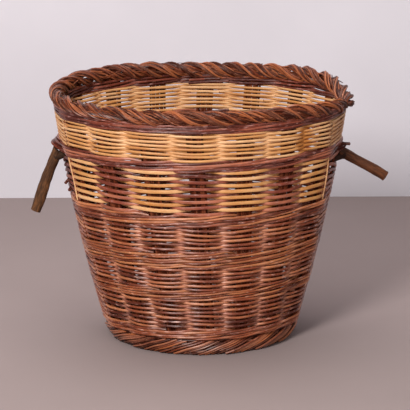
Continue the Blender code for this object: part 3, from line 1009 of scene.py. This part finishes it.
evenly = np.linspace(-1, 1, WHISKER_POINTS)
for _ in range(WHISKERS):
    place = TAIL_STAKE + between(0.8, ROPE_LENGTH - 1.0)
    length = between(0.15, 0.45)
    stakes = np.linspace(place, place + length, WHISKER_POINTS)
    offset, middle, _ = rope_middle(stakes)
    turn = between(0, FULL_TURN) + np.linspace(0, between(-1.6, 0.4), WHISKER_POINTS)
    reach = WHISKER_REACH + between(-0.001, 0.0006) + 0.0006 * evenly ** 2
    course = on_wall(stakes, offset + reach * np.cos(turn), middle + reach * np.sin(turn))
    half = np.linspace(1, 0.6, WHISKER_POINTS) * between(0.0006, 0.0012)
    lay_rod(rods, course, half, half, between(-0.6, 1.4), sides=4)
finish_rods(rods, "rim_border_rods", [border], ("rim_border",))

# %% [markdown]
# ## The foot border
#
# At the foot the ends of each stake's rods turn aside and sweep down along the wall like a fan,
# each over the start of the next. Behind the fans thick rods fill the border, here as rings.

# %% Foot border
FAN_RODS = 5
FAN_POINTS = 24
FAN_LENGTH = 1.25
FAN_STEP = 0.19
FAN_ROD = 0.00205
FAN_TOP_GAP, FAN_DROP_SHORT, LOWEST = 0.0025, 0.0055, 0.0023
FAN_BACK, FAN_ARCH, FAN_LAYER = 0.0015, 0.0078, 0.0008
FILL_DEPTH, FILL_HEIGHT = 0.0032, 0.0031
FILL_RINGS = (
    (-0.012, 0.0035), (-0.0065, 0.0035), (-0.0025, 0.0042), (-0.011, 0.0095), (-0.005, 0.01),
    (0.001, 0.0095), (-0.01, 0.016), (-0.003, 0.0165), (0.0008, 0.017), (-0.0055, 0.0235),
    (0.0005, 0.024), (-0.0055, 0.0305), (-0.001, 0.0315),
)

rods = new_rods()
top = BAND_SPANS["foot_border"][1]
share = np.linspace(0, 1, FAN_POINTS)
arch = np.sin(np.pi * np.clip(share * 0.92, 0, 1)) ** 0.7
for stake in range(STAKES):
    for rod in range(FAN_RODS):
        place = stake + 0.5 - FAN_STEP * rod - share * FAN_LENGTH + chance.normal(0, 0.018)
        levels = top - FAN_TOP_GAP - (top - FAN_DROP_SHORT) * share**1.1
        levels += 0.0006 * np.sin(9 * share + rod)
        outwards = -FAN_BACK + FAN_ARCH * arch + FAN_LAYER * (rod - FAN_RODS / 2)
        outwards += chance.normal(0, 0.0004)
        course = on_wall(place, outwards, np.maximum(levels, LOWEST))
        half = FAN_ROD * (1.08 - 0.2 * share) * between(0.84, 1.1)
        tone = between(-0.1, 1.7)
        lay_rod(rods, course, half, half, tone, bared_and_highlight=between(0, 0.6) * arch)
for ring, (outwards, level) in enumerate(FILL_RINGS):
    stakes = np.linspace(ring, ring + STAKES + 0.4, 150)
    outwards = outwards + 0.0008 * np.sin(stakes * 2.1 + ring)
    course = on_wall(stakes, outwards, level + 0 * stakes)
    lay_rod(rods, course, FILL_DEPTH, FILL_HEIGHT, between(-0.6, 0.2))
finish_rods(rods, "foot_border_rods", [border], ("foot_border",))

# %% [markdown]
# ## The base
#
# Four sticks go through the split middles of four others and open out into sixteen spokes.

# %% Base sticks
BASE_LEVEL = 0.0285
BASE_STICKS = 4
STICK_PITCH = 0.008
STICK_REACH = 0.155
STICK_POINTS = 33
STICK_HALF_WIDTH = 0.0036
STICK_KINDS = ("long", (0.0,), 0.0025), ("split", (-1.0, 1.0), 0.0014)
STRAIGHT_PART, SPLIT_PART = 0.016, 0.032
SPLIT_AT_ENDS, SPLIT_IN_MIDDLE = 0.0012, 0.0036
EYE_RADIUS = 0.03


def stick_line(lane, across, split_side):
    """The path of a base stick, or of the upper or lower half of a split one."""
    aside = lane - (BASE_STICKS - 1) / 2
    turn = aside * math.pi / 8
    right = np.array([
        (0.0, aside * STICK_PITCH), (STRAIGHT_PART, aside * STICK_PITCH),
        (EYE_RADIUS * math.cos(turn), EYE_RADIUS * math.sin(turn)),
        (STICK_REACH * math.cos(turn), STICK_REACH * math.sin(turn)),
    ])
    line = np.concatenate([right[::-1] * (-1, 1), right[1:]])
    distance = np.concatenate([[0.0], np.cumsum(np.linalg.norm(np.diff(line, axis=0), axis=1))])
    even = np.linspace(0, distance[-1], STICK_POINTS)
    x, y = np.interp(even, distance, line[:, 0]), np.interp(even, distance, line[:, 1])
    if across:
        x, y = -y, x
    inner = np.clip(1 - np.abs(even - distance[-1] / 2) / SPLIT_PART, 0, 1)
    apart = SPLIT_AT_ENDS + SPLIT_IN_MIDDLE * np.minimum(1, inner * 2)
    return np.stack([CENTRE_X + x, y, BASE_LEVEL + split_side * apart + 0 * x], axis=-1)


base_wood = willow(
    "base_stick", (0.14, 0.07, 0.035), (0.22, 0.115, 0.055), (0.32, 0.18, 0.09),
    (0.4, 0.25, 0.14), (0.07, 0.035, 0.018), roughness=0.6,
)
for lane in range(BASE_STICKS):
    for kind, split_sides, half in STICK_KINDS:
        rods = new_rods()
        for side in split_sides:
            tone = between(*ANY_TONE)
            path = stick_line(lane, kind == "split", side)
            lay_rod(rods, (path, UP), half, STICK_HALF_WIDTH, tone, sides=8)
        node = f"base_stick_{kind}_{lane + 1}"
        finish_rods(rods, f"{kind}_stick_{lane + 1}", [base_wood], (node,))

# %% [markdown]
# The base weave goes over one spoke and under the next. Its rows are rings that grow from a
# circle round the middle into the foot's oval.

# %% Base weave
BASE_ROWS = 27
BASE_EDGE = 0.0125
BASE_WAVE = 0.0038
POINTS_PER_SPOKE = 7
BASE_ROD_DEPTH, BASE_ROD_WIDTH = 0.0021, 0.0026

rods = new_rods()
length, depth = half_sizes(BASE_LEVEL)
for row in range(BASE_ROWS):
    share = (row + 0.5) / BASE_ROWS
    spokes = np.linspace(0, STAKES, STAKES * POINTS_PER_SPOKE + 1) + between(0, STAKES)
    angles = spokes * FULL_TURN / STAKES
    reach_x = EYE_RADIUS + (length - BASE_EDGE - EYE_RADIUS) * share
    reach_y = EYE_RADIUS + (depth - BASE_EDGE - EYE_RADIUS) * share
    over = np.tanh(2 * np.cos(np.pi * (spokes - 0.5 + row))) / math.tanh(2)
    path = np.stack([
        CENTRE_X + reach_x * np.cos(angles), reach_y * np.sin(angles),
        BASE_LEVEL + BASE_WAVE * over,
    ], axis=-1)
    tone = between(*ANY_TONE)
    lay_rod(rods, (path, UP), BASE_ROD_DEPTH, BASE_ROD_WIDTH, tone, sides=5)
finish_rods(rods, "base_weave_rods", [brown], ("base_weave",))

# %% [markdown]
# ## The handles
#
# Each handle is a crooked stick with its bark on. The outer leg is the grip, the neck goes
# through the wall, and the inner leg keeps it from pulling out. Its ends are sawn square, so the
# pale wood shows there.

# %% Bark
BARK_GLOSS, BARK_BUMP = 0.3, 0.7
RIDGE_STRETCH, BLOTCH_STRETCH = (60, 420), (45, 70)

bark_group, bark_in, bark_out = new_group("stick bark", ("Straight",), ("Ridge", "Blotch"))
straight = bark_in["Straight"]
ridge = noise(bark_group, stretch(bark_group, straight, *RIDGE_STRETCH), 1.0, 4.0, 0.62)
blotch = noise(bark_group, stretch(bark_group, straight, *BLOTCH_STRETCH), 1.0, 3.0, 0.6)
bark_group.links.new(spread(bark_group, ridge, 0.3, 0.7), bark_out["Ridge"])
bark_group.links.new(spread(bark_group, blotch, 0.36, 0.66), bark_out["Blotch"])


def bark(name, shadow, body_colour, warm, roughness, relief_depth):
    """A material for bark: blotches of two browns, with painted shade between the ridges and on
    the neck.
    """
    made, tree, shader = new_material(name)
    marks = use_group(tree, bark_group, {"Straight": attribute(tree, "straight", "Vector")})
    furrows = spread(tree, marks["Ridge"], 0.15, 0.75, 0.75, 0.0)
    # Painted shade: the neck, which goes through the wall, takes the shadow colour.
    root = spread(tree, attribute(tree, "tone"), 0.0, 0.5, 0.8, 0.0)
    colour = blend_colours(tree, marks["Blotch"], body_colour, warm)
    colour = blend_colours(tree, furrows, colour, shadow)
    colour = blend_colours(tree, root, colour, shadow)
    rough = spread(tree, marks["Ridge"], 0, 1, roughness + 0.1, roughness - 0.1)
    set_inputs(tree, shader, {
        "Base Color": colour, "Roughness": rough, "Specular IOR Level": BARK_GLOSS,
        "Normal": bump(tree, marks["Ridge"], BARK_BUMP, relief_depth),
    })
    return made


bark_left = bark(
    "grey_bark", (0.016, 0.006, 0.002), (0.085, 0.032, 0.011), (0.205, 0.082, 0.027), 0.7, 0.0014
)
bark_right = bark(
    "smooth_bark", (0.018, 0.005, 0.0015), (0.078, 0.02, 0.005), (0.15, 0.045, 0.012), 0.62,
    0.0008,
)
sawn = willow(
    "sawn_wood", (0.28, 0.17, 0.09), (0.4, 0.26, 0.15), (0.5, 0.34, 0.2),
    (0.5, 0.36, 0.22), (0.16, 0.09, 0.05), roughness=0.75,
)
print("Materials:", len(bpy.data.materials))

# %% [markdown]
# The stick is drawn as a line of points in the plane of its swing, round the bend and down the
# leg. Lumps along it are slow unevenness and a few knots.

# %% The stick's line and lumps
CROOK_RADIUS = 0.018
CROOK_ANGLE = math.radians(50.5)
BEND_STEPS, LEG_STEPS = 7, 19


def crook_line(start, side, leg):
    """Points from the middle of the neck round a bend and down a leg, in the X-Z plane."""
    points = [(side * start * share, 0.0) for share in (0.35, 0.7)]
    for turn in np.linspace(0, CROOK_ANGLE, BEND_STEPS):
        across = side * (start + CROOK_RADIUS * math.sin(turn))
        points.append((across, CROOK_RADIUS * (math.cos(turn) - 1)))
    foot = np.array(points[-1])
    heading = np.array([side * math.cos(CROOK_ANGLE), -math.sin(CROOK_ANGLE)])
    shares = np.linspace(0, 1, LEG_STEPS)[1:]
    return points + [tuple(foot + heading * leg * share) for share in shares]


def bark_lumps(along, knots):
    """The stick's thickness along its length: slow unevenness and a few knots."""
    lumps = 1 + 0.03 * np.sin(along * 90 + 1) + 0.025 * np.sin(along * 210)
    for place, size, width in knots:
        lumps += size * bell(along - place, width)
    return lumps


print("Points of the inner line:", len(crook_line(0.0, 1, 0.0)))

# %% [markdown]
# The outer leg starts in a heel above the bend. A plane beside the wall cuts the heel flat, so
# that it clears the wall. Only faces far from the hinge are sawn ends.

# %% Stick handles
NECK_RADIUS, NECK_THICKER = 0.0085, 0.27
NECK_FLARE_FROM = NECK_FLARE = 0.012
GRIP_RADIUS = 0.01
NECK_OUTSIDE, NECK_INSIDE = 0.016, 0.017
INNER_LEG = 0.034
REST_TILT = math.radians(-19.5)
STICK_SIDES = 18
GRIP_POINTS = 34
GRIP_BEND = 0.0008
HEEL = 0.034
HEEL_CLEARANCE = 0.0105
SAWN_BEYOND = 0.045
SWING_AXIS = np.array([0.0, 1.0, 0.0])
LEFT_GRIP, RIGHT_GRIP = 0.108, 0.083
LEFT_KNOTS = ((0.045, 0.07, 0.008), (0.085, 0.05, 0.006), (0.075, 0.12, 0.045))
RIGHT_KNOTS = ((0.052, 0.05, 0.008),)


def make_stick(name, side, grip, look, knots):
    """A crooked stick of neck, grip and inner leg."""
    to_corner = CROOK_RADIUS * math.tan(CROOK_ANGLE / 2)
    crossing = NECK_OUTSIDE + to_corner
    inner = crook_line(NECK_INSIDE, -side, INNER_LEG)
    outer = [(side * crossing * share, 0.0) for share in (0, 0.3, 0.6, 0.8, 1)]
    neck = np.array(inner[::-1] + outer)
    down = np.array([side * math.cos(CROOK_ANGLE), -math.sin(CROOK_ANGLE)])
    along = np.linspace(-HEEL, to_corner + grip, GRIP_POINTS)
    leg = np.array([side * crossing, 0.0]) + along[:, None] * down
    leg += (GRIP_BEND * np.sin(along * 55 + side))[:, None] * down[::-1] * (1, -1)
    level, tilted = math.cos(REST_TILT), math.sin(REST_TILT)
    tilt = np.array([[level, -tilted], [tilted, level]])
    pivot = swings[name]
    rods = new_rods()

    def lay_stick(line, radius, tone):
        line = line @ tilt
        path = np.stack(
            [pivot.x + line[:, 0], pivot.y + 0 * line[:, 0], pivot.z + line[:, 1]], axis=-1
        )
        lay_rod(rods, (path, SWING_AXIS), radius, radius, tone, sides=STICK_SIDES)

    lay_stick(leg, GRIP_RADIUS * bark_lumps(along, knots), 0.5)
    mesh = close_seams(rods)
    facing = np.array([side * level, tilted]) @ tilt
    facing = Vector((facing[0], 0.0, facing[1]))
    bmesh.ops.bisect_plane(
        mesh, geom=[*mesh.verts, *mesh.edges, *mesh.faces],
        plane_co=pivot + facing * HEEL_CLEARANCE, plane_no=facing, clear_inner=True,
    )
    flare = ease((side * neck[:, 0] - NECK_FLARE_FROM) / NECK_FLARE)
    # Painted shade: tone 0 paints the neck in the bark's shadow colour.
    lay_stick(neck, NECK_RADIUS * (1 + NECK_THICKER * flare), 0.0)
    piece = finish_rods(rods, name + "_stick", [look, sawn], (name,), name)
    for face in piece.data.polygons:
        if len(face.vertices) > 4 and (face.center - pivot).length > SAWN_BEYOND:
            face.material_index = 1
    return piece


make_stick("left_handle", -1, LEFT_GRIP, bark_left, LEFT_KNOTS)
make_stick("right_handle", 1, RIGHT_GRIP, bark_right, RIGHT_KNOTS)

# %% [markdown]
# ## Corner rods
#
# At the four corners of the check band the weavers bend round a slender peeled rod.

# %% Corner rods
CORNER_ROD = 0.0015
CORNER_ROD_POINTS = 14
CORNER_ROD_OUT, CORNER_ROD_BEND = 0.003, 0.0006

rods = new_rods()
levels = np.linspace(*BAND_SPANS["check"], CORNER_ROD_POINTS)
for corner in CORNERS:
    place = corner + 0 * levels
    outwards = corner_push(place, levels) + CORNER_ROD_OUT
    outwards += CORNER_ROD_BEND * np.sin(levels * 70 + corner)
    course = on_wall(place, outwards, levels)
    lay_rod(rods, course, CORNER_ROD, CORNER_ROD, between(*ANY_TONE), bared_and_highlight=0.4)
finish_rods(rods, "corner_rods", [peeled], ())

# %% [markdown]
# ## Loops over the handles and loose ends
#
# Dark rods loop out over each stick's heel. They have to clear it through its whole swing, so
# each lies on a circle round the hinge that is wider than the heel's own. A row of the table is
# the angle on that circle, its radius, and how high over the hinge the loop's sides lie in the
# wall.

# %% Loops over the handles
LOOP_HALF_SPAN = 0.7
LOOP_POINTS = 42
LOOP_SPREAD = 0.24
LOOP_ROD = 0.0024
LOOP_SINK = 0.004
LOOPS = {
    "left_handle": (
        (80, 0.0338, 0.034), (73, 0.0334, 0.031), (66, 0.0331, 0.027), (58, 0.0334, 0.022),
        (51, 0.0338, 0.016), (44, 0.0343, 0.01), (38, 0.0352, 0.003),
    ),
    "right_handle": (
        (88, 0.0345, 0.04), (81, 0.0338, 0.036), (73, 0.0334, 0.032), (66, 0.0331, 0.027),
        (58, 0.0334, 0.021), (50, 0.034, 0.014),
    ),
}

rods = new_rods()
for handle, loops in LOOPS.items():
    hinge, stake = swings[handle], HANDLE_STAKE[handle]
    for degrees, reach, side in loops:
        turn = math.radians(degrees)
        stakes = np.linspace(stake - LOOP_HALF_SPAN, stake + LOOP_HALF_SPAN, LOOP_POINTS)
        hump = bell(stakes - (stake + chance.normal(0, 0.01)), LOOP_SPREAD, 4)
        top_level = hinge.z + reach * math.sin(turn)
        top_out = abs(hinge.x - CENTRE_X) + reach * math.cos(turn) - half_sizes(top_level)[0]
        levels = hinge.z + side + (top_level - hinge.z - side) * hump
        course = on_wall(stakes, -LOOP_SINK + (top_out + LOOP_SINK) * hump, levels)
        lay_rod(rods, course, LOOP_ROD, LOOP_ROD, between(-0.3, 0.5))
finish_rods(rods, "handle_loops", [dark], ())

# %% [markdown]
# A few rod ends were left sticking out. A row of the table is a stake, a level and how far the
# end reaches out.

# %% Loose rod ends
ROD_ENDS = (
    (12.05, 0.394, 0.0165), (12.45, 0.32, 0.0145), (12.55, 0.308, 0.0125), (4.0, 0.387, 0.025),
    (11.6, 0.24, 0.012), (7.3, 0.3, 0.012), (5.4, 0.16, 0.012),
)
ROD_END = 0.0034
ROD_END_ASIDE, ROD_END_DROOP = 0.14, 0.005

rods = new_rods()
share = np.linspace(0, 1, 6)
for stake, level, reach in ROD_ENDS:
    place = stake - ROD_END_ASIDE * (1 - share)
    course = on_wall(place, reach * share**0.8, level - ROD_END_DROOP * share)
    lay_rod(rods, course, ROD_END, ROD_END, between(-0.6, 0.1))
finish_rods(rods, "loose_rod_ends", [brown], ())

# %% [markdown]
# ## The room
#
# The floor and the wall behind are plain and pale. Each shows only its front, so the basket can be
# looked at from behind too.

# %% Floor and wall
BACK_WALL = 0.996
ROOM = 16.0
WALL_HEIGHT = 3.5
MOTTLE_SCALE, MOTTLE_DETAIL, MOTTLE_SHADE = 3.0, 3.0, 0.94


def plain(name, colour, roughness):
    """A faintly mottled material that can be seen from its front only."""
    made, tree, shader = new_material(name)
    where = add_node(tree, "TexCoord", {})["Object"]
    mottle = spread(tree, noise(tree, where, MOTTLE_SCALE, MOTTLE_DETAIL), 0.3, 0.7)
    darker = tuple(channel * MOTTLE_SHADE for channel in colour)
    mixed = blend_colours(tree, mottle, colour, darker)
    set_inputs(tree, shader, {"Base Color": mixed, "Roughness": roughness})
    clear = add_node(tree, "BsdfTransparent", {})["BSDF"]
    behind = add_node(tree, "NewGeometry", {})["Backfacing"]
    one_sided = add_node(tree, "MixShader", {"Fac": behind, 1: shader.outputs["BSDF"], 2: clear})
    set_inputs(tree, tree.nodes["Material Output"], {"Surface": one_sided["Shader"]})
    return made


SHEETS = (
    ("floor", ROOM, Matrix.Identity(4), plain("pale_floor", (0.315, 0.25, 0.242), 0.8)),
    (
        "back_wall", WALL_HEIGHT,
        Matrix.Translation((0, BACK_WALL, WALL_HEIGHT / 2)) @ Matrix.Rotation(math.pi / 2, 4, "X"),
        plain("white_wall", (0.78, 0.755, 0.81), 0.9),
    ),
)
for name, depth, place, look in SHEETS:
    mesh = bmesh.new()
    bmesh.ops.create_grid(mesh, x_segments=1, y_segments=1, size=0.5)
    place = place @ Matrix.Diagonal((ROOM, depth, 1.0, 1.0))
    bmesh.ops.transform(mesh, matrix=place, verts=mesh.verts)
    data = bpy.data.meshes.new(name)
    mesh.to_mesh(data)
    mesh.free()
    data.materials.append(look)
    sheet = add_object(name, data)
print("Room:", ROOM, "m wide, wall at", BACK_WALL)

# %% [markdown]
# Large soft lights stand in front on the left and overhead, so the gaps in the weave go dark but
# no shadow is hard. A weak fill and the world's glow lift the rest.

# %% Lights
AIM = Vector((CENTRE_X, 0.0, 0.25))
WORLD_COLOUR, WORLD_STRENGTH = (1.0, 0.96, 0.95, 1), 0.17
LIGHTS = (
    ("key", (-1.2, -2.9, 2.2), 1.0, 131, (1.0, 0.97, 0.95)),
    ("fill", (1.6, -3.4, 1.2), 2.0, 26, (1.0, 0.96, 0.95)),
    ("overhead", (-0.2, 0.1, 2.9), 1.8, 28, (1.0, 0.97, 0.95)),
)
for name, place, size, power, colour in LIGHTS:
    data = bpy.data.lights.new(name, "AREA")
    data.shape = "DISK"
    data.size = size
    data.energy = power
    data.color = colour
    light = add_object(name, data)
    light.location = place
    light.rotation_euler = (AIM - Vector(place)).to_track_quat("-Z", "Y").to_euler()

world = bpy.data.worlds.new("studio")
world.use_nodes = True
background = world.node_tree.nodes["Background"].inputs
background["Color"].default_value = WORLD_COLOUR
background["Strength"].default_value = WORLD_STRENGTH
bpy.context.scene.world = world
bpy.context.scene.view_settings.view_transform = "Standard"
print("Lights:", len(LIGHTS))
